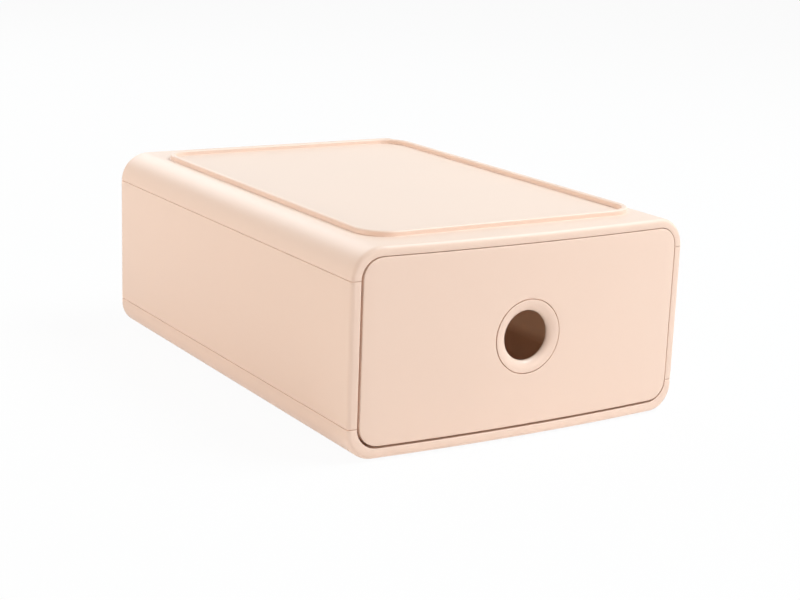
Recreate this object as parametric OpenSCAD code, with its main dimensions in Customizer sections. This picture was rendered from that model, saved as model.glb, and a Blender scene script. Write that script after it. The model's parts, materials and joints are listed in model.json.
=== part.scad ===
// Stackable drawer box: a case of two shells and three walls, with one sliding drawer.
// The front faces -Y, +Z is up, and the origin is on the table below the middle of the case.

/* [Case] */
// Width of the case, left to right
case_w = 180; // [150:1:320]
// Depth of the case, from the middle of its front to its back
case_d = 254; // [204:1:400]
// Height of the case, from its lower face to its top face
case_h = 94.5; // [86:0.5:180]
// How far the front bows outwards in the middle
front_bow = 4; // [1:0.5:6]
// Radius along the two long top edges
top_edge_r = 15; // [13:0.5:18]
// Radius along the two long bottom edges
base_edge_r = 12.5; // [12:0.5:15]
// Rounding of the front and back outlines
outline_r = 2; // [1.5:0.5:4]
// Thickness of the case walls
wall = 2.5; // [2:0.1:3]
// Height of the base shell, up to the lower seam
base_shell_h = 14.6; // [14:0.1:19]
// Height of the top shell, down to the upper seam
top_shell_h = 14.4; // [13.5:0.1:17]

/* [Front frame] */
// Width of the frame beside the drawer front
frame_side = 4.6; // [4:0.1:7]
// Height of the frame above the drawer front
frame_above = 4.3; // [4:0.1:8]
// Height of the frame below the drawer front
frame_below = 4.8; // [4.5:0.1:8]
// Depth of the frame, front to back
frame_depth = 8; // [6:0.5:10]
// Corner radius of the frame's opening
opening_r = 10; // [8:0.5:12]

/* [Stacking rim] */
// Height of the rim above the top face
rim_h = 2.6; // [1.5:0.1:3]
// Thickness of the rim at its foot
rim_t = 2.6; // [1.8:0.1:3]
// Distance from the rim's outside to the side of the case
rim_side = 16.5; // [15.6:0.1:24]
// Distance from the rim's outside to the front and to the back
rim_end = 16.7; // [14:0.1:24]
// Corner radius of the rim's outside
rim_corner_r = 15; // [8:0.5:20]
// Play between the rim and the recess of the box above
stack_play = 0.8; // [0.3:0.1:1.2]
// Spare depth of the recess over the rim
recess_spare = 0.6; // [0.4:0.1:1]
// Thickness of the base shell over the recess
floor_t = 2.2; // [2:0.1:2.2]

/* [Feet and bumpers] */
// Diameter of a rubber foot
foot_d = 16; // [10:1:20]
// How far a foot stands out below the case
foot_stand = 0.8; // [0.5:0.1:1.5]
// Distance of a foot's middle from the side of the case
foot_side = 34; // [32:1:50]
// Distance of a foot's middle from the front or the back
foot_end = 38; // [32:1:50]
// Diameter of a bumper pad
bumper_d = 12; // [8:1:16]
// Thickness of a bumper pad
bumper_t = 3; // [2:0.5:4]
// Distance of a bumper's middle from the side of the case
bumper_side = 38; // [30:1:60]

/* [Drawer] */
// Gap round the drawer front
front_gap = 0.7; // [0.4:0.05:0.9]
// Thickness of the drawer front
front_t = 3; // [2.5:0.1:4]
// Thickness of the tray's walls and floor
tray_wall = 2; // [1.6:0.1:2.5]
// Space between the tray and each case wall
tray_side = 6; // [5.5:0.1:8]
// Space between the tray's top edge and the screws above it
tray_headroom = 0.9; // [0.5:0.1:8]
// Corner radius of the tray, seen from above
tray_corner_r = 8; // [4:0.5:12]
// Radius along the tray's lower long edges
tray_edge_r = 8; // [6:0.5:9]
// Width of the bead round the tray's top edge
bead_w = 1; // [0.6:0.1:1.2]
// Height of the bead round the tray's top edge
bead_h = 3; // [2:0.5:4]
// How far the drawer slides out
drawer_travel = 180; // [100:1:190]

/* [Finger ring] */
// Diameter of the ring's front edge
ring_d = 34; // [28:0.2:40]
// Diameter of the finger hole at its narrowest
throat_d = 23.2; // [18:0.2:25]
// Depth of the rounded mouth, from the front face to the narrowest place
mouth_depth = 2.8; // [2:0.1:3.4]
// Depth of the ring's wide edge, let into the drawer front
ring_edge_t = 1.5; // [1:0.1:1.8]
// How far the ring's wide edge stands out past the sleeve
ring_edge_w = 1.9; // [1.2:0.1:2.4]
// Thickness of the ring's sleeve at its back end
sleeve_t = 1.2; // [1:0.1:1.6]
// Gap between the ring and the drawer front
ring_gap = 0.45; // [0.2:0.05:0.6]
// Distance of the ring's middle to the right of the front's middle
ring_right = 0; // [-10:0.5:10]
// Distance of the ring's middle below the front's middle
ring_down = 0.3; // [-5:0.1:5]
// Thickness of the nut behind the drawer front
nut_t = 2; // [1.5:0.1:3]
// Width of the nut's flange
nut_w = 4; // [3:0.5:6]

/* [Runners] */
// Height of the runner's lower ledge above the lower seam
runner_rise = 26; // [22:1:30]
// Thickness of a runner's web and ledges
runner_t = 1.6; // [1.4:0.1:2]
// Height of a glide
glide_h = 6; // [4:0.5:8]
// How far a glide stands out from the tray
glide_w = 3.2; // [2.8:0.1:3.3]
// Play between a glide and its runner, above and below
glide_play = 0.15; // [0.1:0.05:0.3]
// Diameter of the pegs that hold runners and glides
peg_d = 3; // [2.5:0.1:4]

/* [Screws] */
// Diameter of a screw's shank
screw_d = 2.8; // [2.4:0.1:3]
// Diameter of a screw's head
head_d = 5.4; // [5:0.1:6]
// Height of a screw's head
head_h = 1.6; // [1.4:0.1:1.8]
// Distance between one screw and the next along a side wall
screw_pitch = 80; // [60:1:90]

/* [Hidden] */

// Colours
peach = [0.95, 0.84, 0.76];
peach_inside = [0.93, 0.81, 0.72];
natural = [0.95, 0.94, 0.90];
rubber = [0.62, 0.56, 0.52];
steel = [0.72, 0.73, 0.75];

// Small clearances
seat = 0.1;      // between parts that are fixed to each other
loose = 0.2;     // between parts that pass each other at assembly
bumper_gap = 0.3; // between the closed drawer and the bumpers
through = 1;     // how far a cut runs past a face
arc_steps = 8;   // flats in a quarter turn of a rounded outline

bow_steps = 3;   // rollers between the middle and a side that shape the bowed front

// Levels and places of the case; front_y is where the bowed front meets the sides
front_y = front_bow - case_d / 2;
back_y = case_d / 2;
base_z = foot_stand;
top_z = base_z + case_h;
low_seam_z = base_z + base_shell_h;
high_seam_z = top_z - top_shell_h;
side_x = case_w / 2;
inner_x = side_x - wall;
inner_back_y = back_y - wall;
frame_back_y = front_y + frame_depth;

// The opening that the drawer front fills
opening_x = side_x - frame_side;
opening_z0 = base_z + frame_below;
opening_z1 = top_z - frame_above;

// The recess under the base, and the floor above it
recess_depth = rim_h + recess_spare;
recess_z = base_z + recess_depth;
floor_z = recess_z + floor_t;
corner_fill = 2.5;
hollow_low_r = base_edge_r - wall - corner_fill;
rim_x = side_x - rim_side;
rim_y = case_d / 2 - rim_end;
foot_x = side_x - foot_side;
foot_y = case_d / 2 - foot_end;
bumper_x = side_x - bumper_side;

// Side wall legs, tabs and the rib behind the back wall's tongue
leg_t = 3;
leg_w = 14;
leg_reach = 27;
leg_rise = 10;
leg_screw_in = 22.5;
tab_t = 3;
tab_reach = 7.7;
tab_w = 12;
tab_screw_in = 4.4;
boss_d = 6;
top_grip = 6;
hole_spare = 1;
tongue_t = 2;
tongue_rise = 4;
rib_t = 2.4;
rib_reach = 3;
window_side = 9;
window_end = 7;

// The tray
tray_clear = 1.2;
tray_x = inner_x - tray_side;
tray_z0 = max(floor_z + leg_t, opening_z0) + tray_clear;
tray_z1 = high_seam_z - tab_t - head_h - tray_headroom;
tray_y0 = front_y + front_t;
tray_y1 = inner_back_y - bumper_t - bumper_gap;

// Runners, glides and stops
runner_z = low_seam_z + runner_rise;
ledge_gap = 0.8;
ledge_x = tray_x + ledge_gap;
web_x = inner_x - runner_t;
upper_ledge_z = runner_z + glide_h + 2 * glide_play;
runner_y0 = frame_back_y + loose;
runner_y1 = inner_back_y - tongue_t - rib_t - 1;
glide_y0 = tray_y0 + 6;
glide_y1 = min(runner_y1, tray_y1) - 6;
peg_ys = [for (i = [0:3]) runner_y0 + (runner_y1 - runner_y0) * (i + 0.5) / 4];
socket_depth = 1.5;
stop_w = 8;
stop_h = 6;
stop_head = 1.5;
stop_y = frame_back_y + drawer_travel + loose;
stop_z = upper_ledge_z + runner_t + 3;
stop_clear = 0.9;
stop_x = inner_x - stop_clear;

// The finger ring
ring_x = ring_right;
ring_z = (opening_z0 + opening_z1) / 2 - ring_down;
ring_r = ring_d / 2;
throat_r = throat_d / 2;
sleeve_r = ring_r - ring_edge_w;
sleeve_past_nut = 0.4;
nut_r = sleeve_r + nut_w;
nut_play = 0.02;
nut_y = tray_y0 - bow_at(nut_r) + nut_play;
sleeve_back = nut_y + nut_t + sleeve_past_nut + case_d / 2;
sleeve_inner_r = sleeve_r - sleeve_t;

// Screws of the drawer front
front_screw_side = 18;
front_screw_up = 14;
front_screw_down = 12;
front_screw_x = tray_x - front_screw_side;
front_screw_low = tray_z0 + front_screw_up;
front_screw_high = tray_z1 - front_screw_down;
front_skin = 0.8;
shoulder_d = boss_d + 4;
washer_head_d = boss_d + 2.5;
screw_ys = [-screw_pitch, 0, screw_pitch];

// ---------- outlines ----------

// Points of an arc about (cx, cy) from angle a0 to angle a1
function arc(cx, cy, r, a0, a1) =
    [for (i = [0:arc_steps]) let (a = a0 + (a1 - a0) * i / arc_steps) [cx + r * cos(a), cy + r * sin(a)]];

// Rectangle from (-x, y0) to (x, y1), with radius r0 on its low corners and r1 on its high corners
function rounded_box(x, y0, y1, r0, r1) = concat(
    arc(x - r0, y0 + r0, r0, -90, 0), arc(x - r1, y1 - r1, r1, 0, 90),
    arc(r1 - x, y1 - r1, r1, 90, 180), arc(r0 - x, y0 + r0, r0, 180, 270));

// Runs an outline drawn in x and z from y0 to y1
module along_y(y0, y1) {
    translate([0, y1, 0]) rotate([90, 0, 0]) linear_extrude(y1 - y0) children();
}

// A drilled hole or a round pin that points up, from z0 to z1
module upright(d, x, y, z0, z1) {
    translate([x, y, z0]) cylinder(d = d, h = z1 - z0, $fn = 32);
}

// A round pin along Y, from y0 to y1
module crosswise(d, x, z, y0, y1) {
    translate([x, y1, z]) rotate([90, 0, 0]) cylinder(d = d, h = y1 - y0, $fn = 32);
}

// Copies a right-hand piece to the left
module left() {
    mirror([1, 0, 0]) children();
}

// ---------- whole body ----------

// How far the bowed front stands out at x, past the place where it meets the sides
function bow_at(x) = front_bow * (1 - pow(x / side_x, 2));

// A roller along Y with rounded ends, from the back of the case to its bowed front
module edge_roller(x, z, r) {
    front = bow_at(abs(x) + r - outline_r) - front_y;
    profile = concat([[0, -back_y]], arc(r - outline_r, outline_r - back_y, outline_r, -90, 0),
        arc(r - outline_r, front - outline_r, outline_r, 0, 90), [[0, front]]);
    translate([x, 0, z]) rotate([90, 0, 0]) rotate_extrude($fn = 48) polygon(profile);
}

// The outside of the whole case as one solid
module body() {
    hull() for (i = [-bow_steps:bow_steps]) {
        share = i / bow_steps;
        edge_roller(share * (side_x - top_edge_r), top_z - top_edge_r, top_edge_r);
        edge_roller(share * (side_x - base_edge_r), base_z + base_edge_r, base_edge_r);
    }
}

// The part of the body between two levels
module body_band(z0, z1) {
    intersection() {
        body();
        translate([-case_w, -case_d, z0]) cube([2 * case_w, 2 * case_d, z1 - z0]);
    }
}

// The hollow inside the case, behind the front frame
module hollow() {
    along_y(frame_back_y, inner_back_y)
        polygon(rounded_box(inner_x, floor_z, top_z - wall, hollow_low_r, top_edge_r - wall));
}

// The opening through the front frame
module opening() {
    along_y(-case_d / 2 - through, frame_back_y + 0.01)
        polygon(rounded_box(opening_x, opening_z0, opening_z1, opening_r, opening_r));
}

// ---------- case ----------

// Cross-section of the rim, standing on the x axis with its outside at x = 0
module rim_section() {
    crown_r = rim_t * 0.36;
    polygon(concat([[-rim_t, -0.5], [0, -0.5]],
        arc(-crown_r, rim_h - crown_r, crown_r, 0, 90), arc(crown_r - rim_t, rim_h - crown_r, crown_r, 90, 180)));
}

// One straight side of the rim and the corner after it, on a rectangle 2a by 2b
module rim_side_and_corner(a, b) {
    translate([a, b - rim_corner_r, top_z]) rotate([90, 0, 0])
        linear_extrude(2 * (b - rim_corner_r)) rim_section();
    translate([a - rim_corner_r, b - rim_corner_r, top_z])
        rotate_extrude(angle = 90, $fn = 64) translate([rim_corner_r, 0]) rim_section();
}

// The rim that the box above stands round
module stacking_rim() {
    for (turn = [0, 180]) rotate([0, 0, turn]) {
        rim_side_and_corner(rim_x, rim_y);
        rotate([0, 0, 90]) rim_side_and_corner(rim_y, rim_x);
    }
}

// Height at x of the surface that lies a margin inside the top of the body
function skin_z(x, margin) = top_z - top_edge_r
    + sqrt(pow(top_edge_r - margin, 2) - pow(max(0, x - side_x + top_edge_r), 2));

// A screw boss of the top shell, with a web that joins it to the shell
module top_boss(x, y) {
    web_w = 3;
    reach = 4;
    upright(boss_d, x, y, high_seam_z, skin_z(x + boss_d / 2, wall / 2));
    translate([x - reach, y - web_w / 2, high_seam_z]) cube([reach, web_w, skin_z(x, wall / 2) - high_seam_z]);
}

module top_shell() {
    boss_x = inner_x - tab_screw_in;
    color(peach) difference() {
        union() {
            difference() {
                body_band(high_seam_z, top_z + through);
                hollow();
                opening();
            }
            stacking_rim();
            for (y = screw_ys) {
                top_boss(boss_x, y);
                left() top_boss(boss_x, y);
            }
        }
        for (side = [-1, 1], y = screw_ys)
            upright(screw_d + 2 * seat, side * boss_x, y, high_seam_z - through, high_seam_z + top_grip + hole_spare);
    }
}

module base_shell() {
    leg_screw_x = inner_x - leg_screw_in;
    color(peach) difference() {
        body_band(base_z - through, low_seam_z);
        hollow();
        opening();
        translate([0, 0, base_z - through]) linear_extrude(recess_depth + through)
            polygon(rounded_box(rim_x + stack_play, -rim_y - stack_play, rim_y + stack_play,
                rim_corner_r + stack_play, rim_corner_r + stack_play));
        for (side = [-1, 1], y = screw_ys)
            upright(screw_d + 2 * loose, side * leg_screw_x, y, base_z, floor_z + through);
    }
}

// A leg of the side wall: down inside the base shell and inward along its floor
module wall_leg(y) {
    leg_x = inner_x - loose;
    union() {
        intersection() {
            difference() {
                along_y(y - leg_w / 2, y + leg_w / 2) polygon(rounded_box(leg_x, floor_z, top_z, hollow_low_r, 1));
                along_y(y - leg_w, y + leg_w)
                    polygon(rounded_box(leg_x - leg_t, floor_z + leg_t, top_z, hollow_low_r - leg_t, 1));
            }
            translate([inner_x - leg_reach, y - leg_w, floor_z - through])
                cube([leg_reach + wall, 2 * leg_w, low_seam_z + leg_rise - floor_z + through]);
        }
        translate([leg_x - leg_t, y - leg_w / 2, low_seam_z]) cube([leg_t + 1, leg_w, leg_rise]);
    }
}

// A tab of the side wall that the top shell's boss stands on
module wall_tab(y) {
    translate([inner_x - tab_reach, y - tab_w / 2, high_seam_z - tab_t]) cube([tab_reach + 1, tab_w, tab_t]);
}

module side_wall() {
    rib_y = inner_back_y - seat - tongue_t - seat - rib_t;
    color(peach) difference() {
        union() {
            difference() {
                body_band(low_seam_z, high_seam_z);
                hollow();
                opening();
                translate([-case_w, -case_d, 0]) cube([case_w, 2 * case_d, top_z]);
                translate([-through, inner_back_y - through, 0]) cube([inner_x + through, wall + 2 * through, top_z]);
            }
            for (y = screw_ys) {
                wall_leg(y);
                wall_tab(y);
            }
            translate([inner_x - rib_reach, rib_y, low_seam_z + 2])
                cube([rib_reach + 1, rib_t, high_seam_z - low_seam_z - tab_t - 4]);
        }
        for (y = screw_ys) {
            upright(screw_d + 2 * seat, inner_x - leg_screw_in, y, floor_z - through, floor_z + leg_t + through);
            upright(screw_d + 2 * loose, inner_x - tab_screw_in, y, high_seam_z - tab_t - through, top_z);
        }
        for (y = peg_ys) translate([inner_x - through, y, runner_z + glide_h / 2]) rotate([0, 90, 0])
            cylinder(d = peg_d + 2 * seat, h = socket_depth + through, $fn = 32);
    }
}

module right_wall() { side_wall(); }

module left_wall() { left() side_wall(); }

module back_wall() {
    tongue_x = inner_x - 0.5;
    window_x = inner_x - window_side;
    color(peach) difference() {
        union() {
            intersection() {
                body_band(low_seam_z, high_seam_z);
                translate([-inner_x, inner_back_y - seat, 0]) cube([2 * inner_x, wall + through, top_z]);
            }
            along_y(inner_back_y - seat - tongue_t, inner_back_y - seat)
                polygon(rounded_box(tongue_x, low_seam_z - tongue_rise, high_seam_z + tongue_rise, 4, 5));
        }
        along_y(inner_back_y - seat - tongue_t - through, inner_back_y)
            polygon(rounded_box(window_x, low_seam_z + window_end, high_seam_z - window_end, 5, 5));
    }
}

// ---------- runners ----------

module runner() {
    color(natural) union() {
        difference() {
            translate([ledge_x, runner_y0, runner_z - runner_t])
                cube([inner_x - ledge_x, runner_y1 - runner_y0, upper_ledge_z - runner_z + 2 * runner_t]);
            translate([ledge_x - through, runner_y0 - through, runner_z])
                cube([web_x - ledge_x + through, runner_y1 - runner_y0 + 2 * through, upper_ledge_z - runner_z]);
        }
        for (y = peg_ys) translate([web_x, y, runner_z + glide_h / 2]) rotate([0, 90, 0])
            cylinder(d = peg_d, h = runner_t + socket_depth - loose, $fn = 32);
    }
}

module right_runner() { runner(); }

module left_runner() { left() runner(); }

// ---------- screws ----------

// A screw that points up, with the face under its head at z = 0
module screw(length, head_d = head_d) {
    slot_w = 0.8;
    color(steel) difference() {
        union() {
            translate([0, 0, -head_h]) cylinder(d = head_d, h = head_h, $fn = 32);
            cylinder(d = screw_d, h = length, $fn = 32);
        }
        for (turn = [0, 90]) rotate([0, 0, turn])
            translate([-head_d / 3, -slot_w / 2, -head_h - through]) cube([head_d / 1.5, slot_w, head_h / 2 + through]);
    }
}

module top_screws() {
    for (side = [-1, 1], y = screw_ys)
        translate([side * (inner_x - tab_screw_in), y, high_seam_z - tab_t]) screw(tab_t + top_grip);
}

module base_screws() {
    for (side = [-1, 1], y = screw_ys)
        translate([side * (inner_x - leg_screw_in), y, recess_z]) screw(floor_t + leg_t - loose);
}

// ---------- feet and bumpers ----------

module foot(side, end) {
    chamfer = 1;
    height = recess_z;
    color(rubber) translate([side * foot_x, end * foot_y, 0]) rotate_extrude($fn = 48)
        polygon([[0, 0], [foot_d / 2 - chamfer, 0], [foot_d / 2, chamfer], [foot_d / 2, height], [0, height]]);
}

module foot_front_left() { foot(-1, -1); }

module foot_front_right() { foot(1, -1); }

module foot_rear_left() { foot(-1, 1); }

module foot_rear_right() { foot(1, 1); }

module bumper(side) {
    color(rubber) crosswise(bumper_d, side * bumper_x, (tray_z0 + tray_z1) / 2, inner_back_y - bumper_t, inner_back_y);
}

module right_bumper() { bumper(1); }

module left_bumper() { bumper(-1); }

// ---------- drawer ----------

// A solid block in the tray's outer shape, taken in by a margin all round
module tray_block(margin, z_top) {
    x = tray_x - margin;
    low_r = tray_edge_r - margin;
    corner_r = tray_corner_r - margin;
    intersection() {
        along_y(tray_y0 + margin, tray_y1 - margin)
            polygon(concat(arc(x - low_r, tray_z0 + margin + low_r, low_r, -90, 0), [[x, z_top], [-x, z_top]],
                arc(low_r - x, tray_z0 + margin + low_r, low_r, 180, 270)));
        translate([0, 0, -through]) linear_extrude(z_top + 2 * through)
            polygon(rounded_box(x, tray_y0 + margin, tray_y1 - margin, min(corner_r, 3), corner_r));
    }
}

module drawer_tray() {
    color(peach_inside) difference() {
        union() {
            tray_block(0, tray_z1);
            translate([0, 0, tray_z1 - bead_h]) linear_extrude(bead_h)
                polygon(rounded_box(tray_x + bead_w, tray_y0, tray_y1 - 0.01, 3, tray_corner_r + bead_w));
        }
        tray_block(tray_wall, tray_z1 + through);
        crosswise(2 * (nut_r + loose), ring_x, ring_z, tray_y0 - through, tray_y0 + tray_wall + through);
        for (side = [-1, 1], z = [front_screw_low, front_screw_high])
            crosswise(boss_d + 2 * loose, side * front_screw_x, z, tray_y0 - through, tray_y0 + tray_wall + through);
        for (side = [-1, 1], y = peg_ys) translate([side * tray_x, y, runner_z + glide_h / 2]) rotate([0, 90, 0])
            cylinder(d = peg_d + 2 * seat, h = 3 * tray_wall, center = true, $fn = 32);
        for (side = [-1, 1]) translate([side * tray_x, stop_y + stop_w / 2, stop_z + stop_h / 2])
            cube([3 * tray_wall, stop_w + 2 * seat, stop_h + 2 * seat], center = true);
    }
}

// An upright round block whose surface follows the bowed front, a margin behind it
module bow_block(margin) {
    r = (pow(side_x, 2) + pow(front_bow, 2)) / (2 * front_bow);
    translate([0, r - case_d / 2, 0]) cylinder(r = r - margin, h = top_z, $fn = 720);
}

// A bowed plate of even thickness, with shoulders that reach back to the tray
module drawer_front() {
    x = opening_x - front_gap;
    r = opening_r - front_gap;
    boss_back_y = tray_y0 + tray_wall - seat;
    shoulder_y = tray_y0 - bow_at(front_screw_x) - front_t / 2;
    color(peach) difference() {
        union() {
            difference() {
                intersection() {
                    along_y(-case_d / 2 - through, tray_y0)
                        polygon(rounded_box(x, opening_z0 + front_gap, opening_z1 - front_gap, r, r));
                    bow_block(0);
                }
                bow_block(front_t);
            }
            for (side = [-1, 1], z = [front_screw_low, front_screw_high]) {
                crosswise(shoulder_d, side * front_screw_x, z, shoulder_y, tray_y0);
                crosswise(boss_d, side * front_screw_x, z, shoulder_y, boss_back_y);
            }
        }
        crosswise(ring_d + 2 * ring_gap, ring_x, ring_z, -case_d / 2 - through, ring_edge_t - case_d / 2);
        crosswise(2 * (sleeve_r + seat), ring_x, ring_z, -case_d / 2, tray_y0 + through);
        for (side = [-1, 1], z = [front_screw_low, front_screw_high])
            crosswise(screw_d + 2 * seat, side * front_screw_x, z, front_y + front_skin, boss_back_y + through);
    }
}

// The ring's mouth is a quarter ellipse from the front edge in to the throat
module finger_ring() {
    flat = 0.6;
    mouth_w = ring_r - flat - throat_r;
    mouth = [for (i = [0:12]) let (a = 90 * i / 12)
        [throat_r + mouth_w * (1 - sin(a)), mouth_depth * (1 - cos(a))]];
    color(peach) translate([ring_x, -case_d / 2, ring_z]) rotate([-90, 0, 0]) rotate_extrude($fn = 96)
        polygon(concat(mouth, [[sleeve_inner_r, sleeve_back], [sleeve_r, sleeve_back], [sleeve_r, ring_edge_t],
            [ring_r, ring_edge_t], [ring_r, 0]]));
}

module ring_nut() {
    notch = 2;
    color(natural) difference() {
        crosswise(2 * nut_r, ring_x, ring_z, nut_y, nut_y + nut_t);
        crosswise(2 * (sleeve_r + seat), ring_x, ring_z, nut_y - through, nut_y + nut_t + through);
        for (turn = [0:60:300]) translate([ring_x, nut_y - through, ring_z]) rotate([0, turn, 0])
            translate([nut_r - notch / 2, 0, -notch / 2]) cube([notch, nut_t + 2 * through, notch]);
    }
}

module front_screws() {
    for (side = [-1, 1], z = [front_screw_low, front_screw_high])
        translate([side * front_screw_x, tray_y0 + tray_wall, z]) rotate([90, 0, 0])
            screw(tray_wall + front_t - front_skin - loose, washer_head_d);
}

module glide() {
    nose = 2;
    outer_x = tray_x + glide_w;
    z = runner_z + glide_play;
    color(natural) union() {
        translate([0, 0, z]) linear_extrude(glide_h)
            polygon([[tray_x, glide_y0], [outer_x - nose, glide_y0], [outer_x, glide_y0 + nose],
                [outer_x, glide_y1 - nose], [outer_x - nose, glide_y1], [tray_x, glide_y1]]);
        for (y = peg_ys) translate([tray_x - tray_wall, y, runner_z + glide_h / 2]) rotate([0, 90, 0])
            cylinder(d = peg_d, h = tray_wall + 1, $fn = 32);
    }
}

module right_glide() { glide(); }

module left_glide() { left() glide(); }

// A clip through the tray's side: a head inside the tray and a tongue that meets the front frame
module stop() {
    head_edge = 2;
    color(natural) union() {
        translate([tray_x - tray_wall - stop_head, stop_y - head_edge, stop_z - head_edge])
            cube([stop_head, stop_w + 2 * head_edge, stop_h + 2 * head_edge]);
        translate([tray_x - tray_wall - 0.5, stop_y, stop_z]) cube([stop_x - tray_x + tray_wall + 0.5, stop_w, stop_h]);
    }
}

module right_stop() { stop(); }

module left_stop() { left() stop(); }

top_shell();
base_shell();
left_wall();
right_wall();
back_wall();
left_runner();
right_runner();
top_screws();
base_screws();
foot_front_left();
foot_front_right();
foot_rear_left();
foot_rear_right();
left_bumper();
right_bumper();
drawer_tray();
drawer_front();
finger_ring();
ring_nut();
front_screws();
left_glide();
right_glide();
left_stop();
right_stop();
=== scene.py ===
"""Stackable drawer box in matte moulded plastic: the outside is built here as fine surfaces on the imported
frame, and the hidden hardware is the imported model's own."""
import json
import math

import bmesh
import bpy
import numpy as np
from mathutils import Matrix, Vector


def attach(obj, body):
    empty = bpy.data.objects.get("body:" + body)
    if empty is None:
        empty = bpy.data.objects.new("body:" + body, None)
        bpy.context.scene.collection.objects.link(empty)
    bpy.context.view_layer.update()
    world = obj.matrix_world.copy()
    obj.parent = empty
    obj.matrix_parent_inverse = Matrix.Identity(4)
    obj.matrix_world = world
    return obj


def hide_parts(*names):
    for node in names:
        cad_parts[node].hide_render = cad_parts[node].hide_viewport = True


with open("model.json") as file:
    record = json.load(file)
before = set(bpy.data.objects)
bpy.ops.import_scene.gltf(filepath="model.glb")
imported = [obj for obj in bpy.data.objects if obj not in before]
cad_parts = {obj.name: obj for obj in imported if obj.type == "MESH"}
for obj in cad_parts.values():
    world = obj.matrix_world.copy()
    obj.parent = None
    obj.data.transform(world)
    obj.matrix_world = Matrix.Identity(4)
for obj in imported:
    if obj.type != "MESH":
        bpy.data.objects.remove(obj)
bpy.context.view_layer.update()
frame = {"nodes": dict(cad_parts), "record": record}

MM = 0.001

# Sizes of the box, in millimetres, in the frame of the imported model. An X is half a width.
SIDE_X, END_Y, FRONT_Y, BOW = 90.0, 127.0, -123.0, 4.0           # sides, back, front at the sides, its bow
BASE_Z, LOW_SEAM, HIGH_SEAM, TOP_Z = 0.8, 15.4, 80.9, 95.3       # underside, both seams, top face
TOP_R, LOW_R, END_R, WALL = 15.0, 12.5, 2.0, 2.5                 # roundings above, below, at the ends; wall
INNER_X, INNER_END = SIDE_X - WALL, END_Y - WALL                 # insides of the walls
OPEN_X, OPEN_Z0, OPEN_Z1, OPEN_R = 85.4, 5.6, 91.0, 10.0         # the front frame's opening
FRAME_BACK = -115.0                                              # back of the thick front frame
THIN_FROM = FRAME_BACK - 2.0                                     # behind it, walls count as thin for light
RECESS_Z, FLOOR_Z, HOLLOW_R = 4.0, 6.2, 7.5                      # recess's ceiling, floor, its side edges
RIM_X, RIM_Y, RIM_R, RIM_T, RIM_H = 73.5, 110.3, 15.0, 2.6, 2.6  # stacking rim
STACK_PLAY = 0.8                                                 # between a rim and the recess round it
RECESS_X, RECESS_Y, RECESS_R = RIM_X + STACK_PLAY, RIM_Y + STACK_PLAY, RIM_R + STACK_PLAY
FOOT_X, FOOT_Y, FOOT_R, FOOT_EDGE = 56.0, 89.0, 8.0, 1.0         # rubber feet
BUMPER_X, BUMPER_R, BUMPER_T, BUMPER_EDGE = 52.0, 6.0, 3.0, 0.8  # rubber pads on the back wall
SCREW_YS, SCREW_IN = (-80.0, 0.0, 80.0), 4.4                     # case screws: depths, distance from the wall

FRONT_GAP, FRONT_T = 0.7, 3.0                                    # drawer front: gap round it, thickness
RING_X, RING_Z, RING_R, RING_EDGE, RING_GAP = 0.0, 48.0, 17.0, 1.5, 0.45
THROAT_R, MOUTH = 11.6, 2.8                                      # finger hole's narrowest place, its depth
SLEEVE_R, SLEEVE_IN, SLEEVE_END, SEAT = 15.1, 13.9, 5.6, 0.1     # ring's sleeve, play in its hole
NUT_HOLE_R = 19.3                                                # hole in the tray that clears the nut
TRAY_X, TRAY_Y0, TRAY_Y1, TRAY_Z0, TRAY_Z1 = 81.5, -120.0, 121.2, 10.4, 75.4
TRAY_T, TRAY_LOW_R, TRAY_CORNER, TRAY_TOP_R = 2.0, 8.0, 8.0, 0.6
BOSS_X, BOSS_ZS = 63.5, (24.4, 63.4)                             # screws between drawer front and tray

# Small roundings and gaps of the moulded pieces, in millimetres
SEAM_R = 0.35                                                    # edge beside a seam
NEAR_SEAM = SEAM_R * np.array([0, 0.1, 0.3, 0.6, 1.0])           # distances of the points that carry it
LOW_SLIT, HIGH_SLIT = 0.22, 0.12                                 # slits under and over the side walls
LIP_R = 0.25                                                     # front edge of the frame's opening
PANEL_R, HOLE_R = 0.4, 0.15                                      # drawer front's edges, outer and at the ring
PANEL_PLAY = np.array([0.40, 0.36])                              # how far right and up it sits in its opening

SHARP = math.radians(35)                                         # faces that meet more steeply make an edge
WHITE = (1.0, 1.0, 1.0, 1.0)


# ---------- outlines ----------

def quarter(n):
    """n angles from 0 to a right angle."""
    return np.radians(np.linspace(0, 90, n))


def arc(cx, cz, r, a0, a1, n):
    """Points of a circle: centre plus r times (cos a, sin a), with a running from a0 to a1 degrees."""
    a = np.radians(np.linspace(a0, a1, n))
    return np.stack([cx + r * np.cos(a), cz + r * np.sin(a)], -1)


def circle(cx, cz, r, n):
    """A whole circle of n points, the last one step before the first."""
    return arc(cx, cz, r, 0, 360 - 360 / n, n)


def rounded(x, z0, z1, r0, r1, n=9):
    """A rectangle from (-x, z0) to (x, z1) with quarter arcs, of radius r0 below and r1 above. It runs
    anticlockwise."""
    return np.concatenate([arc(x - r0, z0 + r0, r0, -90, 0, n), arc(x - r1, z1 - r1, r1, 0, 90, n),
                           arc(r1 - x, z1 - r1, r1, 90, 180, n), arc(r0 - x, z0 + r0, r0, 180, 270, n)])


def on_arc(x, r, centre_z, z):
    """How far out a side lies at z: straight below the arc's centre, and on the arc above it."""
    return x - r + np.sqrt(r ** 2 - np.clip(z - centre_z, 0, r) ** 2)


def eased(z, seam):
    """How far a face draws in at z beside a seam: a quarter circle of radius SEAM_R."""
    near = np.clip(SEAM_R - abs(z - seam), 0, SEAM_R)
    return SEAM_R - np.sqrt(SEAM_R ** 2 - near ** 2)


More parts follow.
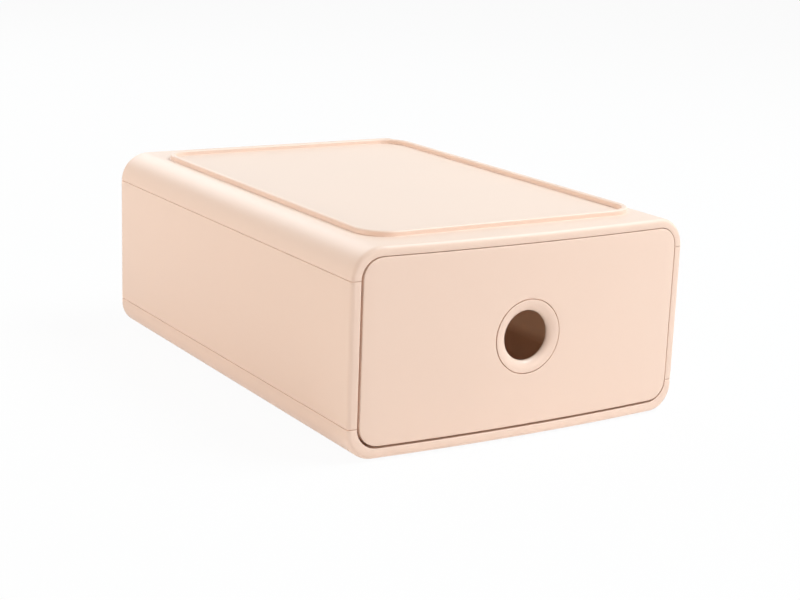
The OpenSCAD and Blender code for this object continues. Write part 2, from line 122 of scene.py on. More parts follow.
def arch(x, z, r, seam, flat, n=17):
    """Half an outline: up the right side from the seam, round a quarter arc of radius r, along the points
    flat, and down the left side as a mirror image. Close points beside the seam carry its rounding. Where the
    seam lies within the arc, the side begins on the arc."""
    low = z - r
    near = seam + NEAR_SEAM
    side = np.stack([on_arc(x, r, low, near), near], -1)
    begin = math.degrees(math.asin(max(near[-1] - low, 0) / r))
    on_the_arc = int(begin > 0)
    turn = arc(x - r, low, r, begin, 90, n + on_the_arc)[on_the_arc:]
    right = np.concatenate([side, turn])
    return np.concatenate([right, flat, right[::-1] * (-1, 1)])


def level(x, z, n):
    """n points of a level line, between x and -x but not on its ends."""
    return np.stack([np.linspace(x, -x, n + 2)[1:-1], np.full(n, z)], -1)


def along(outline, y):
    """Points (x, z) placed at the depth y."""
    outline = np.asarray(outline, float)
    return np.stack([outline[:, 0], np.full(len(outline), y), outline[:, 1]], -1)


def lifted(outline, z):
    """Points (x, y) placed at the height z."""
    outline = np.asarray(outline, float)
    return np.stack([outline[:, 0], outline[:, 1], np.full(len(outline), z)], -1)


def ring_of(outer, inner, y):
    """A closed section: the outer half, then the inner half run back."""
    return along(np.concatenate([outer, inner[::-1]]), y)


def bow_at(x):
    """How far the bowed front stands out at x, past the place where it meets the sides."""
    return BOW * (1 - (x / SIDE_X) ** 2)


# ---------- surfaces ----------

class Surface:
    """Collects closed shells as arrays of points in millimetres and faces, and makes one mesh of them."""

    def __init__(self):
        self.points, self.faces, self.count = [], [], 0

    def add(self, points, *face_sets):
        """Adds one shell. Each face set is an array with a row of places in points for each face."""
        self.points.append(np.asarray(points, float).reshape(-1, 3))
        for faces in face_sets:
            self.faces += (np.asarray(faces) + self.count).tolist()
        self.count += len(self.points[-1])
        return self

    def loops(self, rings, halves=False, torus=False):
        """Joins ring s to ring s + 1 with quads, each ring being closed. A torus joins the last ring to the
        first. Otherwise the end rings are closed by one flat face, or, where a ring is an outer half and an
        inner half run back, by quads from place j to its partner K - 1 - j."""
        rings = np.asarray(rings, float)
        s, k = rings.shape[:2]
        grid = np.meshgrid(np.arange(s if torus else s - 1), np.arange(k), indexing="ij")
        i, j = (places.ravel() for places in grid)
        nxt, up = (j + 1) % k, (i + 1) % s
        face_sets = [np.stack([i * k + j, i * k + nxt, up * k + nxt, up * k + j], -1)]
        ends = np.array([[0], [(s - 1) * k]])
        if not torus and halves:
            j = np.arange(k // 2 - 1)
            across = np.stack([j, j + 1, k - 2 - j, k - 1 - j], -1)
            face_sets.append((across[None] + ends[:, None]).reshape(-1, 4))
        elif not torus:
            face_sets.append(np.arange(k)[None] + ends)
        return self.add(rings, *face_sets)

    def prism(self, outline, y0, y1):
        """An outline in x and z carried straight from y0 to y1."""
        return self.loops([along(outline, y0), along(outline, y1)])

    def upright(self, outline, z0, z1):
        """An outline in x and y carried straight up from z0 to z1."""
        return self.loops([lifted(outline, z0), lifted(outline, z1)])

    def box(self, x0, x1, y0, y1, z0, z1):
        """A plain block between two corners."""
        return self.upright([(x0, y0), (x1, y0), (x1, y1), (x0, y1)], z0, z1)

    def turned(self, profile, x, z, y, n=128):
        """A closed profile of (radius, depth) turned once round an axis along Y through (x, z)."""
        a = np.linspace(0, 2 * np.pi, n, endpoint=False)[:, None]
        r, depth = np.asarray(profile, float).T
        return self.loops(np.stack([x + r * np.cos(a), y + depth + 0 * a, z + r * np.sin(a)], -1), torus=True)

    def mirrored(self):
        """Turns every x to -x."""
        self.points = [points * (-1, 1, 1) for points in self.points]
        return self

    def bowed(self):
        """Moves the front out by the bow: in full as far back as the front's rounding goes, and fading out to
        nothing at the back of the frame."""
        for points in self.points:
            share = (FRAME_BACK - points[:, 1]) / (FRAME_BACK - FRONT_Y - END_R)
            points[:, 1] -= bow_at(points[:, 0]) * np.clip(share, 0, 1)
        return self

    def make(self, name, body, nodes, slot, material, edge=0.0):
        """One object at the origin that rides on a body and stands for the nodes. An edge width adds a Bevel
        modifier."""
        mesh = bpy.data.meshes.new(name)
        mesh.from_pydata((np.concatenate(self.points) * MM).tolist(), [], self.faces)
        cleaned(mesh)
        mesh.polygons.foreach_set("use_smooth", np.ones(len(mesh.polygons), bool))
        mesh.materials.append(material)
        piece = bpy.data.objects.new(name, mesh)
        bpy.context.scene.collection.objects.link(piece)
        if edge:
            bevel = piece.modifiers.new("edges", "BEVEL")
            bevel.width, bevel.segments, bevel.limit_method = edge * MM, 3, "ANGLE"
            bevel.angle_limit, bevel.harden_normals = SHARP, True
        else:
            mesh.set_sharp_from_angle(angle=SHARP)
        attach(piece, body)
        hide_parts(*nodes)
        return piece


def cleaned(mesh, apart=2e-6, tiny=1e-6):
    """Merges the points that fall together, drops faces of no area and turns every shell's faces outwards."""
    bm = bmesh.new()
    bm.from_mesh(mesh)
    bmesh.ops.remove_doubles(bm, verts=bm.verts, dist=apart)
    bmesh.ops.dissolve_degenerate(bm, edges=bm.edges, dist=tiny)
    bmesh.ops.recalc_face_normals(bm, faces=bm.faces)
    bm.to_mesh(mesh)
    bm.free()


# ---------- case ----------

def section(outer, inner, y, seam, turn=90.0):
    """One section of a shell. turn is how far the outline's rounding has turned from the front's face (0) to
    the sides (90) or on to the back's face (180). Beside the seam the outside draws in sideways, and the
    front's face backwards."""
    ring = ring_of(outer, inner, y)
    draw = eased(ring[:, 2], seam)
    half, turn = len(outer), math.radians(turn)
    ring[:half, 0] -= np.sign(ring[:half, 0]) * draw[:half] * math.sin(turn)
    ring[:, 1] += draw * max(math.cos(turn), 0)
    return ring


def end_rounding():
    """Turn, depth and inset of the sections through the rounded outline at an end, from its face inwards."""
    turn = np.linspace(0, 90, 9)
    return turn, END_R * (1 - np.cos(np.radians(turn))), END_R * (1 - np.sin(np.radians(turn)))


def lip(depth):
    """How much wider the opening is at a depth behind the front's face: a quarter circle of radius LIP_R."""
    return LIP_R - math.sqrt(LIP_R ** 2 - max(LIP_R - depth, 0) ** 2)


def shell_sections(outer, opening, hollow, plate, seam, middle):
    """Sections of a shell from front to back. outer(inset) is the outside. The inside is the frame's
    opening(margin), then the hollow with the sections middle, then the straight line plate, where the back of
    the shell is solid."""
    ends = list(zip(*end_rounding()))
    rings = [section(outer(inset), opening(lip(depth)), FRONT_Y + depth, seam, turn)
             for turn, depth, inset in ends]
    rings += [section(outer(0), half, FRAME_BACK, seam) for half in (opening(0), hollow)]
    rings += middle
    rings += [section(outer(0), half, INNER_END, seam) for half in (hollow, plate)]
    rings += [section(outer(inset), plate, END_Y - depth, seam, 180 - turn)
              for turn, depth, inset in ends[::-1]]
    return np.array(rings)


def stacking_rim(shell):
    """A rounded bar carried round a rounded rectangle: place = path point plus its outward normal times the
    profile's u, and the profile's v above the top face. The crown is round and each foot runs into the top
    face on a small arc."""
    crown, foot, beside, sunk, steps = 0.94, 0.3, 0.1, 0.4, 25
    half = np.concatenate([[[foot + beside, -sunk]], arc(foot, foot, foot, 270, 180, 5),
                           arc(-crown, RIM_H - crown, crown, 0, 90, 9)])
    profile = np.concatenate([half, half[::-1] * (-1, 1) - (RIM_T, 0)])
    normals = np.concatenate([arc(0, 0, 1, a, a + 90, steps) for a in (0, 90, 180, 270)])
    corner = np.repeat([(1, 1), (-1, 1), (-1, -1), (1, -1)], steps, axis=0)
    path = corner * (RIM_X - RIM_R, RIM_Y - RIM_R) + RIM_R * normals
    place = path[:, None] + normals[:, None] * profile[None, :, :1]
    rise = np.broadcast_to(TOP_Z + profile[:, 1], place.shape[:2])
    shell.loops(np.concatenate([place, rise[..., None]], -1), torus=True)


def top_shell():
    """The shell above the upper seam, with the stacking rim and the bosses for the side walls' screws."""
    spare = 15

    def outer(inset):
        top = level(SIDE_X - TOP_R, TOP_Z - inset, spare)
        return arch(SIDE_X - inset, TOP_Z - inset, TOP_R - inset, HIGH_SEAM, top)

    def opening(margin):
        x, z, r = OPEN_X + margin, OPEN_Z1 + margin, OPEN_R + margin
        return arch(x, z, r, HIGH_SEAM, level(x - r, z, spare))

    hollow = arch(INNER_X, TOP_Z - WALL, TOP_R - WALL, HIGH_SEAM, level(SIDE_X - TOP_R, TOP_Z - WALL, spare))
    plate = np.stack([hollow[:, 0], np.full(len(hollow), HIGH_SEAM)], -1)
    middle = [section(outer(0), hollow, y, HIGH_SEAM) for y in (-80, -40, 0, 40, 80)]
    shell = Surface().loops(shell_sections(outer, opening, hollow, plate, HIGH_SEAM, middle), halves=True)
    stacking_rim(shell)
    boss_r, boss_top, web_t, web_reach, web_top = 3.0, 88.0, 1.5, 4.0, 92.4
    for y in SCREW_YS:
        for side in (-1, 1):
            x = side * (INNER_X - SCREW_IN)
            shell.upright(circle(x, y, boss_r, 24), HIGH_SEAM, boss_top)
            shell.box(*sorted((x, x - side * web_reach)), y - web_t, y + web_t, HIGH_SEAM, web_top)
    return shell.bowed()


def recess_half(y):
    """Half the recess's width at the depth y: straight sides, then the corner arc."""
    past = np.clip(abs(y) - (RECESS_Y - RECESS_R), 0, RECESS_R)
    return RECESS_X - RECESS_R + math.sqrt(max(RECESS_R ** 2 - past ** 2, 0))


def base_shell():
    """Built upside down, so that the same arch serves: z is turned to -z at the end. The recess is a step in
    the outside's level line, as wide as the recess is at that depth, and flat beyond the recess's ends."""
    spare = 11

    def outer(inset, y=END_Y, deep=False):
        x, edge = recess_half(y), -(BASE_Z + inset)
        z = -RECESS_Z if deep else edge
        flat = np.concatenate([[(x, edge), (x, z)], level(x, z, spare), [(-x, z), (-x, edge)]])
        return arch(SIDE_X - inset, edge, LOW_R - inset, -LOW_SEAM, flat)

    def opening(margin):
        x, z, r = OPEN_X + margin, margin - OPEN_Z0, OPEN_R + margin
        return arch(x, z, r, -LOW_SEAM, level(x - r, z, spare + 4))

    hollow = arch(INNER_X, -FLOOR_Z, HOLLOW_R, -LOW_SEAM, level(INNER_X - HOLLOW_R, -FLOOR_Z, spare + 4))
    plate = np.stack([hollow[:, 0], np.full(len(hollow), -LOW_SEAM)], -1)
    bend = RECESS_Y - RECESS_R * (1 - np.cos(quarter(13)))
    stations = [(-bend[0], False), *((-y, True) for y in bend),
                *((y, True) for y in bend[::-1]), (bend[0], False)]
    middle = [section(outer(0, y, deep), hollow, y, -LOW_SEAM) for y, deep in stations]
    rings = shell_sections(outer, opening, hollow, plate, -LOW_SEAM, middle)
    return Surface().loops(rings * (1, 1, -1), halves=True).bowed()


def wall_plan(z, low, high):
    """A side wall's outline seen from above, at the height z between low and high: the frame block in front,
    the wall behind it, and rounded outer corners. It draws in beside both seams."""
    draw = eased(z, low) + eased(z, high)
    side = on_arc(SIDE_X, TOP_R, TOP_Z - TOP_R, z)
    inner = on_arc(INNER_X, TOP_R - WALL, TOP_Z - TOP_R, z)
    frame_x = on_arc(OPEN_X, OPEN_R, OPEN_Z1 - OPEN_R, z)
    outline = np.concatenate([
        arc(frame_x + LIP_R, FRONT_Y + LIP_R, LIP_R, 180, 270, 5),
        arc(side - END_R, FRONT_Y + END_R, END_R - draw, 270, 360, 9),
        arc(side - END_R, END_Y - END_R, END_R - draw, 0, 90, 9),
        arc(inner + SEAM_R, END_Y - SEAM_R, SEAM_R, 90, 180, 5),
        [(inner, FRAME_BACK), (frame_x, FRAME_BACK)]])
    return np.clip(outline, (0, FRONT_Y + draw), (SIDE_X, END_Y - draw))


def side_wall():
    """The wall's plan carried up from seam to seam. Inside are three legs that bend in along the floor, three
    tabs under the top shell and the rib behind the back wall's tongue. All of them start within the wall."""
    low, high = LOW_SEAM + LOW_SLIT, HIGH_SEAM - HIGH_SLIT
    levels = [*(low + NEAR_SEAM), TOP_Z - TOP_R, *(high - NEAR_SEAM[::-1])]
    wall = Surface().loops([lifted(wall_plan(z, low, high), z) for z in levels])
    in_wall = INNER_X + 1
    leg_x, leg_end, leg_t, leg_w = INNER_X - 0.2, INNER_X - 27, 3.0, 7.0
    leg_low, leg_top = LOW_SEAM + 1, LOW_SEAM + 10
    outer, inner = (np.concatenate([
        [(leg_x - t, leg_top)], arc(leg_x - HOLLOW_R, FLOOR_Z + HOLLOW_R, HOLLOW_R - t, 0, -90, 9),
        [(leg_end, FLOOR_Z + t)]]) for t in (0, leg_t))
    tab_x, tab_t, tab_w = INNER_X - 7.7, 3.0, 6.0
    for y in SCREW_YS:
        wall.loops([ring_of(outer, inner, y - leg_w), ring_of(outer, inner, y + leg_w)], halves=True)
        wall.box(leg_x - leg_t, in_wall, y - leg_w, y + leg_w, leg_low, leg_top)
        wall.box(tab_x, in_wall, y - tab_w, y + tab_w, high - tab_t, high - SEAM_R)
    rib_x, rib_y, rib_t, rib_low, rib_top = INNER_X - 3.0, 119.9, 2.4, LOW_SEAM + 2, HIGH_SEAM - 5
    return wall.box(rib_x, in_wall, rib_y, rib_y + rib_t, rib_low, rib_top).bowed()


def back_wall():
    """A flat plate between the side walls, and on its inner face a tongue with a window in it that reaches
    past both seams."""
    play, tongue_in, tongue_t, rise, tongue_low_r, tongue_top_r = 0.1, 0.5, 2.0, 4.0, 4, 5
    window_x, window_z, window_r = 9, 7, 5
    face, x = INNER_END - play, INNER_X - play
    z0, z1 = LOW_SEAM + LOW_SLIT, HIGH_SEAM - HIGH_SLIT
    wall = Surface().prism([(x, z0), (x, z1), (-x, z1), (-x, z0)], face, END_Y)
    outer = rounded(INNER_X - tongue_in, LOW_SEAM - rise, HIGH_SEAM + rise, tongue_low_r, tongue_top_r)
    window = rounded(INNER_X - window_x, LOW_SEAM + window_z, HIGH_SEAM - window_z, window_r, window_r)
    inside = face - tongue_t
    tongue = [along(outer, face), along(outer, inside), along(window, inside), along(window, face)]
    return wall.loops(tongue, torus=True)


# ---------- drawer ----------

RING_PLACE = np.array([RING_X, RING_Z])


def facing_ring(x, z0, z1, r0, r1, n=9, straights=(14, 20, 14, 20)):
    """A rounded rectangle. Along each straight side, counted from the right one anticlockwise, the points
    stand at equal angles seen from the ring's middle, so that the points of a hole there, which share those
    directions, stand evenly too."""
    corners = rounded(x, z0, z1, r0, r1, n).reshape(4, n, 2)
    parts = []
    for i, count in enumerate(straights):
        a, b = corners[i, -1], corners[(i + 1) % 4, 0]
        angles = np.unwrap([math.atan2(*(p - RING_PLACE)[::-1]) for p in (a, b)])
        turn = np.linspace(*angles, count)[1:-1]
        way = np.stack([np.cos(turn), np.sin(turn)], -1)
        across = np.array([-(b - a)[1], (b - a)[0]])
        reach = ((a - RING_PLACE) @ across) / (way @ across)
        parts += [corners[i], RING_PLACE + way * reach[:, None]]
    return np.concatenate(parts)


def hole_in(outline, r):
    """Points at the distance r from the ring's middle, in the directions of the outline's points."""
    away = outline - RING_PLACE
    return RING_PLACE + r * away / np.linalg.norm(away, axis=1)[:, None]


def drawer_front():
    """A bowed plate. Rows of points run from the back of the sleeve's hole out over the flat step that the
    ring sits on, up to the face, over it, round the outer edge and back behind it. Each row lies its own
    depth behind the bowed surface. Shoulders and bosses reach back to the tray."""
    def edge(inset):
        x, z0 = OPEN_X - FRONT_GAP - inset, OPEN_Z0 + FRONT_GAP + inset
        z1, r = OPEN_Z1 - FRONT_GAP - inset, OPEN_R - FRONT_GAP - inset
        return facing_ring(x, z0, z1, r, r) + PANEL_PLAY

    face_rows, back_rows, turn = 14, 8, quarter(7)
    hole_r = RING_R + RING_GAP
    face, border = edge(PANEL_R), edge(0)
    inner = hole_in(face, hole_r + HOLE_R)
    hole, step = hole_in(face, SLEEVE_R + SEAT), hole_in(face, hole_r)
    rows = [(hole, FRONT_T)]
    rows += [(points, RING_EDGE - BOW + bow_at(points[:, 0])) for points in (hole, step)]
    rows += [(hole_in(face, hole_r + HOLE_R * (1 - math.sin(t))), HOLE_R * (1 - math.cos(t)))
             for t in turn[:0:-1]]
    rows += [(inner + (face - inner) * s, 0) for s in np.linspace(0, 1, face_rows)]
    rows += [(edge(PANEL_R * (1 - math.sin(t))), PANEL_R * (1 - math.cos(t))) for t in turn[1:]]
    behind = hole_in(border, SLEEVE_R + SEAT)
    rows += [(border + (behind - border) * s, FRONT_T) for s in np.linspace(0, 1, back_rows)[:-1]]
    rings = np.array([along(points, FRONT_Y + depth) for points, depth in rows])
    rings[..., 1] -= bow_at(rings[..., 0])
    panel = Surface().loops(rings, torus=True)
    shoulder_y, shoulder_r, boss_r, boss_end = -123.5, 5.0, 3.0, TRAY_Y0 + 1.9
    for x in (-BOSS_X, BOSS_X):
        for z in BOSS_ZS:
            panel.prism(circle(x, z, shoulder_r, 36), shoulder_y, TRAY_Y0)
            panel.prism(circle(x, z, boss_r, 24), shoulder_y, boss_end)
    return panel


def finger_ring():
    """A turned profile: a small front edge, a quarter ellipse in to the throat, a sleeve that opens to the
    back, and the wide edge in front of it, which sits in the drawer front."""
    flat, edge = 0.6, 0.15
    mouth_w = RING_R - flat - THROAT_R
    a = quarter(25)
    mouth = np.stack([THROAT_R + mouth_w * (1 - np.sin(a)), MOUTH * (1 - np.cos(a))], -1)
    back = [(SLEEVE_IN, SLEEVE_END), (SLEEVE_R, SLEEVE_END), (SLEEVE_R, RING_EDGE), (RING_R, RING_EDGE)]
    profile = np.concatenate([mouth, back, arc(RING_R - edge, edge, edge, 0, -90, 6)])
    return Surface().turned(profile, RING_X, RING_Z, -END_Y)


def tray_half(y, margin):
    """Half the tray's section at the depth y, a margin inside its outer face: sides, arcs along the lower
    edges and the floor. Within the plan's rounded corners |x| is cut back to the plan's half width at that
    depth."""
    x, floor, r, corner = TRAY_X - margin, -(TRAY_Z0 + margin), TRAY_LOW_R - margin, TRAY_CORNER - margin
    line = arch(x, floor, r, -TRAY_Z1, level(x - r, floor, 5)) * (1, -1)
    past = np.clip(y - (TRAY_Y1 - margin - corner), 0, corner)
    most = x - corner + math.sqrt(max(corner ** 2 - past ** 2, 0))
    line[:, 0] = np.clip(line[:, 0], -most, most)
    return line


def drawer_tray():
    """A trough carried from front to back with a solid back, a bead along both top edges, and the front plate
    with a hole round the nut."""
    back_in = TRAY_Y1 - TRAY_T
    bend = 1 - np.sin(quarter(13))
    bends = [*(TRAY_Y1 - TRAY_CORNER * bend), *(back_in - (TRAY_CORNER - TRAY_T) * bend)]
    stations = np.unique(np.round(bends, 4))
    hollow = [TRAY_Y0, *stations[stations < back_in], back_in]
    solid = [back_in, *stations[stations > back_in]]
    last = tray_half(back_in, TRAY_T)

    def lid(y):
        most = tray_half(y, 0)[:, 0].max()
        return np.stack([np.clip(last[:, 0], -most, most), np.full(len(last), TRAY_Z1)], -1)

    rings = [ring_of(tray_half(y, 0), tray_half(y, TRAY_T), y) for y in hollow]
    rings += [ring_of(tray_half(y, 0), lid(y), y) for y in solid]
    tray = Surface().loops(rings, halves=True)
    overlap = 0.02
    plate = facing_ring(TRAY_X - TRAY_T + overlap, TRAY_Z0 + TRAY_T - overlap, TRAY_Z1,
                        TRAY_LOW_R - TRAY_T, TRAY_TOP_R)
    hole = hole_in(plate, NUT_HOLE_R)
    y0, y1 = TRAY_Y0, TRAY_Y0 + TRAY_T
    tray.loops([along(hole, y0), along(hole, y1), along(plate, y1), along(plate, y0)], torus=True)
    bead_in, bead_out, bead_h = 0.5, 1, 3
    x0, x1, z0 = TRAY_X - bead_in, TRAY_X + bead_out, TRAY_Z1 - bead_h
    bead = np.array([(x0, z0), (x1, z0), (x1, TRAY_Z1), (x0, TRAY_Z1)])
    for side in (1, -1):
        tray.prism(bead * (side, 1), TRAY_Y0, TRAY_Y1 - TRAY_CORNER)
    return tray


# ---------- small rubber pieces ----------

def turned_pad(centre, r, thick, soft, upright, middle=0.55):
    """A round pad on a centre: the half section runs out along the lower face from the share middle of r,
    round a soft edge and up the side, and turns once round an upright axis or one along Y. Flat faces close
    both ends."""
    a = np.linspace(0, 2 * np.pi, 64, endpoint=False)
    half = np.concatenate([[(r * middle, 0.0)], arc(r - soft, soft, soft, -90, 0, 7), [(r, thick)]])
    out, rise = half.T[..., None]
    u, v, w = out * np.cos(a), out * np.sin(a), rise + 0 * a
    return Surface().loops(np.stack([u, v, w] if upright else [u, w, v], -1) + centre)


# ---------- finishes ----------

MIDDLE = 0.5                                                     # the value that a noise varies about


class Value:
    """Wraps a socket that carries a number, so that an expression on it adds its Math nodes."""

    def __init__(self, paint, socket):
        self.paint, self.socket = paint, socket

    def _math(self, operation, a, b):
        return self.paint.node("ShaderNodeMath", {"operation": operation}, {0: a, 1: b})

    def __add__(self, other):
        return self._math("ADD", self, other)

    def __radd__(self, other):
        return self._math("ADD", other, self)

    def __sub__(self, other):
        return self._math("SUBTRACT", self, other)

    def __rsub__(self, other):
        return self._math("SUBTRACT", other, self)

    def __mul__(self, other):
        return self._math("MULTIPLY", self, other)

    def __rmul__(self, other):
        return self._math("MULTIPLY", other, self)


class Paint:
    """A material under construction. One method adds any node: settings first, then the values or links of
    its sockets."""

    def __init__(self, holder):
        holder.use_nodes = True
        self.holder, self.tree = holder, holder.node_tree
        self.tree.nodes.clear()

    def node(self, kind, settings=None, sockets=None, out=0):
        made = self.tree.nodes.new(kind)
        for key, value in (settings or {}).items():
            setattr(made, key, value)
        for key, value in (sockets or {}).items():
            if isinstance(value, Value):
                self.tree.links.new(value.socket, made.inputs[key])
            else:
                made.inputs[key].default_value = value
        return Value(self, made.outputs[out]) if made.outputs else made

    def place(self):
        """The point on the piece, in metres of the frame."""
        return self.node("ShaderNodeTexCoord", out="Object")

    def noise(self, scale, detail=2.0, rough=0.5):
        """Noise over the piece, from 0 to 1 about MIDDLE; the scale counts features per metre."""
        return self.node("ShaderNodeTexNoise", {}, {
            "Vector": self.place(), "Scale": scale, "Detail": detail, "Roughness": rough})

    def blend(self, factor, low, high):
        """A colour between two others. Of the Mix node's sockets, 6, 7 and output 2 are the colours."""
        return self.node("ShaderNodeMix", {"data_type": "RGBA"}, {0: factor, 6: low, 7: high}, out=2)

    def bump(self, height, strength, depth_mm):
        return self.node("ShaderNodeBump", {}, {
            "Strength": strength, "Distance": depth_mm * MM, "Height": height})

    def finish(self, shader, target="ShaderNodeOutputMaterial"):
        self.node(target, {}, {"Surface": shader})
        return self.holder


def rgba(colour, gain=1.0):
    return (*(min(c * gain, 1.0) for c in colour), 1.0)


def moulded(name, colour, rough=0.42, grain=0.35, depth=0.010, mottle=0.012, clear=None):
    """Moulded plastic: a fine eroded grain, a slow drift in colour and gloss and faint flow marks. The
    grain's width and depth are in millimetres. Where clear is given, each face behind THIN_FROM lets that
    share of a lamp's light through, as a thin wall does, and the box is dimly lit inside. The thick front
    frame and the tray's front plate let none through."""
    drift_tone, speck_tone, drift_gloss, speck_gloss, flow = 1.4, 0.35, 0.05, 0.08, 0.5
    p = Paint(bpy.data.materials.new(name))
    drift, speck = p.noise(scale=14.0, detail=3.0), p.noise(scale=900.0)
    tone = (drift - MIDDLE) * drift_tone + (speck - MIDDLE) * speck_tone + MIDDLE
    base = p.blend(tone, rgba(colour, 1 - mottle), rgba(colour, 1 + mottle))
    gloss = rough + (drift - MIDDLE) * drift_gloss + (speck - MIDDLE) * speck_gloss
    relief = p.noise(scale=1 / (grain * MM), rough=0.6) + p.noise(scale=60.0, detail=1.0) * flow
    plastic = p.node("ShaderNodeBsdfPrincipled", {}, {
        "Normal": p.bump(relief, 0.35, depth), "Base Color": base, "Roughness": gloss})
    if clear is None:
        return p.finish(plastic)
    lamp_ray = p.node("ShaderNodeLightPath", out="Is Shadow Ray")
    let_through = p.node("ShaderNodeBsdfTransparent", {}, {"Color": rgba(clear)})
    depth_y = p.node("ShaderNodeSeparateXYZ", {}, {0: p.place()}, out=1)
    thin = p.node("ShaderNodeMath", {"operation": "GREATER_THAN"}, {0: depth_y, 1: THIN_FROM * MM})
    wall = p.node("ShaderNodeMixShader", {}, {0: thin, 1: plastic, 2: let_through})
    return p.finish(p.node("ShaderNodeMixShader", {}, {0: lamp_ray, 1: plastic, 2: wall}))


def rubber(name, colour):
    """Rubber: dull, slightly dusty on the high spots, with a soft pebbled skin."""
    rough, dusty_gloss, dusty_tone, pebble_tone, darkest, palest = 0.72, 0.15, 0.7, 0.3, 0.86, 1.12
    p = Paint(bpy.data.materials.new(name))
    pebble, dust = p.noise(scale=1600.0, detail=3.0), p.noise(scale=160.0, detail=3.0)
    base = p.blend(dust * dusty_tone + pebble * pebble_tone, rgba(colour, darkest), rgba(colour, palest))
    return p.finish(p.node("ShaderNodeBsdfPrincipled", {}, {
        "Normal": p.bump(pebble, 0.5, 0.03), "Base Color": base,
        "Roughness": rough + (dust - MIDDLE) * dusty_gloss}))


def plated(name, colour):
    """Zinc-plated steel: bright metal with a cloudy drift in its gloss and fine handling marks."""
    brightest, cloudy_gloss, darkest, palest = 0.3, 0.2, 0.9, 1.08
    p = Paint(bpy.data.materials.new(name))
    cloud = p.noise(scale=700.0, detail=3.0)
    base = p.blend(cloud, rgba(colour, darkest), rgba(colour, palest))
    marks = p.noise(scale=3500.0, rough=0.7)
    return p.finish(p.node("ShaderNodeBsdfPrincipled", {}, {
        "Normal": p.bump(marks, 0.3, 0.01), "Base Color": base, "Metallic": 1.0,
        "Roughness": brightest + cloud * cloudy_gloss}))


PEACH, TRAY_PEACH, MILKY = (0.90, 0.69, 0.57), (0.88, 0.65, 0.50), (0.85, 0.82, 0.74)
WARM_GREY, ZINC = (0.36, 0.28, 0.23), (0.62, 0.63, 0.65)
THIN_WALL, THIN_TRAY = (0.92, 0.90, 0.88), (0.72, 0.69, 0.66)    # shares of light that each face lets through
case_plastic = moulded("case_plastic", PEACH)
wall_plastic = moulded("wall_plastic", PEACH, clear=THIN_WALL)
ring_plastic = moulded("ring_plastic", PEACH, rough=0.38, grain=0.3, depth=0.006)
tray_plastic = moulded("tray_plastic", TRAY_PEACH, rough=0.5, grain=0.45, clear=THIN_TRAY)
natural_plastic = moulded("natural_plastic", MILKY, rough=0.36, grain=0.6, depth=0.006, mottle=0.03)
pad_rubber = rubber("pad_rubber", WARM_GREY)
screw_steel = plated("screw_steel", ZINC)


# ---------- pieces ----------

top_shell().make("top_cover", "case", ["top_shell"], "case", case_plastic)
base_shell().make("base_tub", "case", ["base_shell"], "case", case_plastic)
side_wall().make("right_side", "case", ["right_wall"], "case", case_plastic)
side_wall().mirrored().make("left_side", "case", ["left_wall"], "case", wall_plastic)
back_wall().make("back_panel", "case", ["back_wall"], "case", case_plastic, edge=0.3)
drawer_front().make("front_panel", "drawer", ["drawer_front"], "case", case_plastic)
finger_ring().make("finger_rim", "drawer", ["finger_ring"], "case", ring_plastic)
drawer_tray().make("drawer_box", "drawer", ["drawer_tray"], "tray", tray_plastic, edge=0.4)

for side_word, sx in (("left", -1), ("right", 1)):
    for end_word, sy in (("front", -1), ("rear", 1)):
        foot = turned_pad((sx * FOOT_X, sy * FOOT_Y, 0.0), FOOT_R, RECESS_Z, FOOT_EDGE, upright=True)
        foot.make(f"{end_word}_{side_word}_pad", "case", [f"foot_{end_word}_{side_word}"],
                  "rubber", pad_rubber)
    bumper_place = (sx * BUMPER_X, INNER_END - BUMPER_T, (TRAY_Z0 + TRAY_Z1) / 2)
    bumper = turned_pad(bumper_place, BUMPER_R, BUMPER_T, BUMPER_EDGE, upright=False)
    bumper.make(f"{side_word}_stop_pad", "case", [f"{side_word}_bumper"], "rubber", pad_rubber)

finishes = {"natural": natural_plastic, "screw": screw_steel}
for part in frame["record"]["subparts"]:
    if part["material_slot"] in finishes:
        node = frame["nodes"][part["node"]]
        node.data.materials.clear()
        node.data.materials.append(finishes[part["material_slot"]])


# ---------- studio ----------

def sees_white(p):
    """1 for what the camera or a reflection sees, and 0 for the rays that carry light."""
    camera_ray, glossy_ray = (p.node("ShaderNodeLightPath", out=f"Is {kind} Ray")
                              for kind in ("Camera", "Glossy"))
    return p.node("ShaderNodeMath", {"operation": "MAXIMUM"}, {0: camera_ray, 1: glossy_ray})


def studio_floor(reach=6.0, drop=0.05 * MM, white_share=0.95, paper=(0.86, 0.85, 0.84)):
    """A wide floor, just below the feet, that looks almost white and still keeps the box's shadow."""
    p = Paint(bpy.data.materials.new("floor_white"))
    lit = p.node("ShaderNodeBsdfDiffuse", {}, {"Color": rgba(paper)})
    glow = p.node("ShaderNodeEmission", {}, {"Color": WHITE, "Strength": 1.0})
    material = p.finish(p.node("ShaderNodeMixShader", {}, {0: sees_white(p) * white_share, 1: lit, 2: glow}))
    mesh = bpy.data.meshes.new("floor")
    corners = reach * np.array([(-1, -1), (1, -1), (1, 1), (-1, 1)])
    mesh.from_pydata(lifted(corners, -drop).tolist(), [], [(0, 1, 2, 3)])
    mesh.materials.append(material)
    floor = bpy.data.objects.new("floor", mesh)
    bpy.context.scene.collection.objects.link(floor)


def studio_world(strength):
    """Faint even light on the pieces, and white for the camera and for reflections."""
    p = Paint(bpy.data.worlds.new("studio"))
    light = p.node("ShaderNodeBackground", {}, {"Color": WHITE, "Strength": strength})
    white = p.node("ShaderNodeBackground", {}, {"Color": WHITE, "Strength": 1.0})
    mixed = p.node("ShaderNodeMixShader", {}, {0: sees_white(p), 1: light, 2: white})
    bpy.context.scene.world = p.finish(mixed, "ShaderNodeOutputWorld")


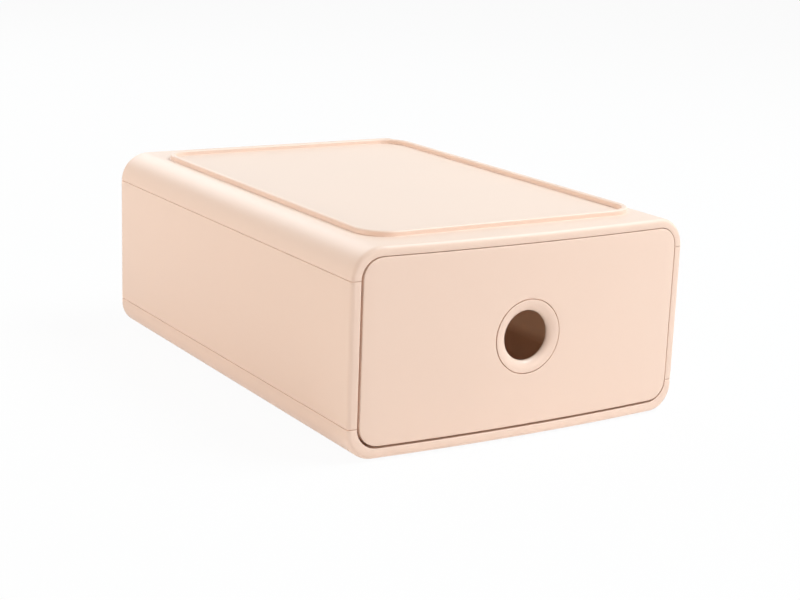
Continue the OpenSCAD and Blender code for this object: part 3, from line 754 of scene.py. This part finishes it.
def softbox(name, where, size, watts, colour, aim=(0, 0, 0.05)):
    """A rectangular lamp that points at the middle of the box."""
    light = bpy.data.lights.new(name, "AREA")
    light.shape, light.size, light.size_y, light.energy, light.color = "RECTANGLE", *size, watts, colour
    lamp = bpy.data.objects.new(name, light)
    bpy.context.scene.collection.objects.link(lamp)
    lamp.location = where
    lamp.rotation_euler = (Vector(aim) - Vector(where)).to_track_quat("-Z", "Y").to_euler()


def camera(place, turn, down, roll, lens_mm):
    """Stands at a place and looks ahead along +Y, turned right, then down, then rolled, all in degrees."""
    turn, down, roll = (math.radians(v) for v in (turn, down, roll))
    ahead = Vector((math.sin(turn) * math.cos(down), math.cos(turn) * math.cos(down), -math.sin(down)))
    right = Vector((math.cos(turn), -math.sin(turn), 0))
    up = right.cross(ahead)
    across = right * math.cos(roll) + up * math.sin(roll)
    above = up * math.cos(roll) - right * math.sin(roll)
    lens = bpy.data.cameras.new("view")
    lens.sensor_width, lens.lens, lens.clip_start, lens.clip_end = 36.0, lens_mm, 0.01, 50.0
    eye = bpy.data.objects.new("view", lens)
    bpy.context.scene.collection.objects.link(eye)
    rows = [(across[i], above[i], -ahead[i], place[i]) for i in range(3)]
    eye.matrix_world = Matrix(rows + [(0, 0, 0, 1)])
    bpy.context.scene.camera = eye


studio_floor()
studio_world(0.1)
# Each lamp's place and size in metres, its watts and its tint
softbox("left_low", (-1.556, 0.274, 0.300), (1.0, 0.5), 10.2, (1.0, 0.86, 0.75))
softbox("left_back", (-1.196, 1.196, 0.666), (1.0, 1.0), 4.1, (1.0, 0.94, 0.84))
softbox("front_low", (0.241, -1.368, 0.221), (1.2, 0.35), 5.9, (1.0, 0.82, 0.73))
softbox("right_high", (0.894, -0.516, 1.524), (1.0, 1.0), 33.0, (0.85, 0.955, 1.0))
softbox("back", (0.0, 1.474, 1.082), (1.0, 1.0), 8.9, (0.87, 0.95, 1.0))
camera((-0.434798, -0.712928, 0.249456), turn=32.0175, down=14.4023, roll=2.1089, lens_mm=75.8385)
bpy.context.scene.view_settings.view_transform = "Standard"
